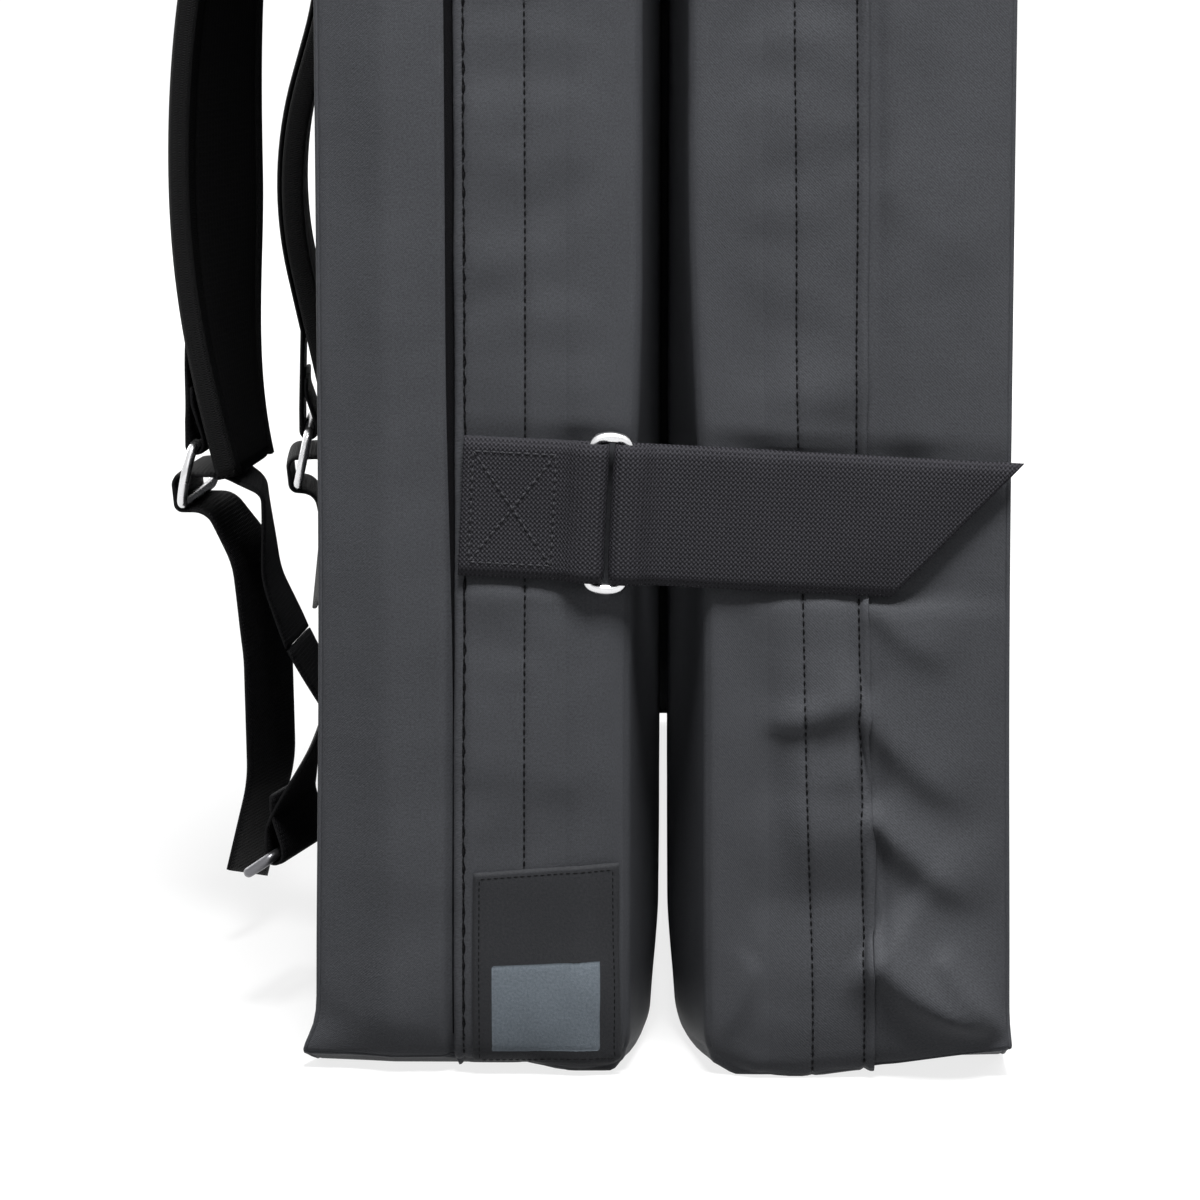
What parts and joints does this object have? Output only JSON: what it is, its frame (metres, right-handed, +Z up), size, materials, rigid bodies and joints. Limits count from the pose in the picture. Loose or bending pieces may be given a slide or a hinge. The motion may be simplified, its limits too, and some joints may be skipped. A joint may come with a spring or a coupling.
{
  "type": "folding bouldering crash pad",
  "caption": "Hinged two-panel foam crash pad folded face to face on end, closed by ring-and-webbing straps, with padded shoulder straps, waist belt webs and a haul handle.",
  "frame": {"origin": "middle of the carry panel's bottom end, on the surface it stands on", "axes": "+Z up along the panels; +Y from the closing side to the hinge side; +X from the harness face through both panels"},
  "size_m": [0.3251, 0.6598, 1],
  "materials": {
    "cover_fabric": "matte",
    "hinge_fabric": "matte",
    "hook_and_loop": "matte",
    "closed_foam": "matte",
    "open_foam": "matte",
    "webbing": "matte",
    "strap_padding": "matte",
    "label": "matte",
    "ring_wire": "polished"
  },
  "bodies": {
    "carry_panel": {"carry_backing_foam": "closed_foam", "carry_core_foam": "open_foam", "carry_cover_face": "cover_fabric", "carry_cover_tray": "cover_fabric", "carry_hook_tape": "hook_and_loop", "carry_landing_foam": "closed_foam", "carry_loop_tape": "hook_and_loop", "closure_anchor_lower": "webbing", "closure_anchor_upper": "webbing", "far_belt_root": "webbing", "far_strap_root_lower": "webbing", "far_strap_root_upper": "webbing", "haul_handle": "webbing", "hinge_web": "hinge_fabric", "label_patch": "label", "near_belt_root": "webbing", "near_strap_root_lower": "webbing", "near_strap_root_upper": "webbing"},
    "outer_panel": {"closure_strap_lower": "webbing", "closure_strap_upper": "webbing", "outer_backing_foam": "closed_foam", "outer_core_foam": "open_foam", "outer_cover_face": "cover_fabric", "outer_cover_tray": "cover_fabric", "outer_hook_tape": "hook_and_loop", "outer_landing_foam": "closed_foam", "outer_loop_tape": "hook_and_loop"},
    "closure_ring_lower": {"closure_ring_lower": "ring_wire"},
    "closure_ring_upper": {"closure_ring_upper": "ring_wire"},
    "near_shoulder": {"near_adjuster_web": "webbing", "near_shoulder_pad": "strap_padding", "near_shoulder_ring": "ring_wire", "near_shoulder_web": "webbing"},
    "far_shoulder": {"far_adjuster_web": "webbing", "far_shoulder_pad": "strap_padding", "far_shoulder_ring": "ring_wire", "far_shoulder_web": "webbing"},
    "near_belt": {"near_belt_web": "webbing"},
    "far_belt": {"far_belt_web": "webbing"},
    "belt_ring": {"belt_ring": "ring_wire"}
  },
  "joints": [
    {"name": "fold_hinge", "type": "hinge", "parent": "carry_panel", "child": "outer_panel", "pos_m": [0.065, 0.3265, 0.5], "axis": [0, 0, 1], "range_deg": [0, 180], "deforming": ["hinge_web", "closure_strap_lower", "closure_strap_upper"]},
    {"name": "lower_ring_swing", "type": "hinge", "parent": "carry_panel", "child": "closure_ring_lower", "pos_m": [0.03876, -0.3293, 0.21131], "axis": [-0.0488, 0, -0.9988], "range_deg": [-4, 160]},
    {"name": "upper_ring_swing", "type": "hinge", "parent": "carry_panel", "child": "closure_ring_upper", "pos_m": [0.03876, -0.3293, 0.78931], "axis": [-0.0488, 0, -0.9988], "range_deg": [-4, 160]},
    {"name": "near_shoulder_swing", "type": "hinge", "parent": "carry_panel", "child": "near_shoulder", "pos_m": [-0.082, -0.115, 0.33], "axis": [0, 0, 1], "range_deg": [-8, 30]},
    {"name": "far_shoulder_swing", "type": "hinge", "parent": "carry_panel", "child": "far_shoulder", "pos_m": [-0.076, 0.115, 0.3], "axis": [0, 0, 1], "range_deg": [-14, 14]},
    {"name": "near_belt_swing", "type": "hinge", "parent": "carry_panel", "child": "near_belt", "pos_m": [-0.06725, -0.22, 0.11185], "axis": [0, 1, 0], "range_deg": [0, 100]},
    {"name": "far_belt_swing", "type": "hinge", "parent": "carry_panel", "child": "far_belt", "pos_m": [-0.06725, 0.22, 0.11185], "axis": [0, 1, 0], "range_deg": [-5, 100]},
    {"name": "belt_ring_swing", "type": "hinge", "parent": "near_belt", "child": "belt_ring", "pos_m": [-0.07675, -0.21692, 0.06358], "axis": [0.2756, 0.9613, 0], "range_deg": [-30, 30]}
  ]
}
